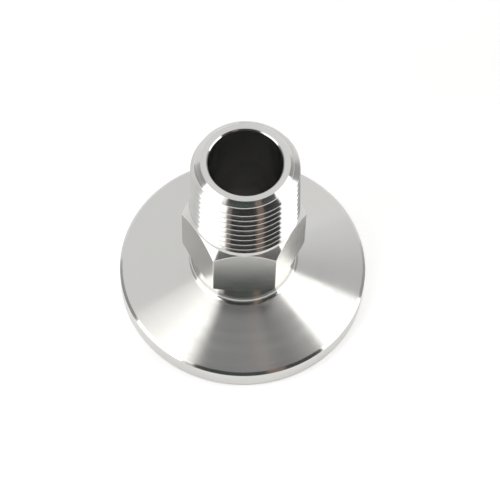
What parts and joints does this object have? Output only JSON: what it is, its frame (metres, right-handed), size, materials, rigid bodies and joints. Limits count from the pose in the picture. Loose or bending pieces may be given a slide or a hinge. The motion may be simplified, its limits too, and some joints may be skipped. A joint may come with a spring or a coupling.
{
  "type": "vacuum flange threaded adapter",
  "caption": "Round vacuum clamp flange with a tapered back, a neck, a wrench hexagon and a male tapered pipe nipple, with a straight bore through all of it.",
  "frame": {"origin": "centre of the flange's sealing face", "axes": "+Z along the bore, from the sealing face to the nipple's end face; -Y square to one wrench flat"},
  "size_m": [0.04, 0.04, 0.036],
  "materials": {
    "stainless_steel": "turned and milled, fine concentric tool marks"
  },
  "bodies": {
    "root": {"adapter_body": "stainless_steel"}
  },
  "joints": []
}
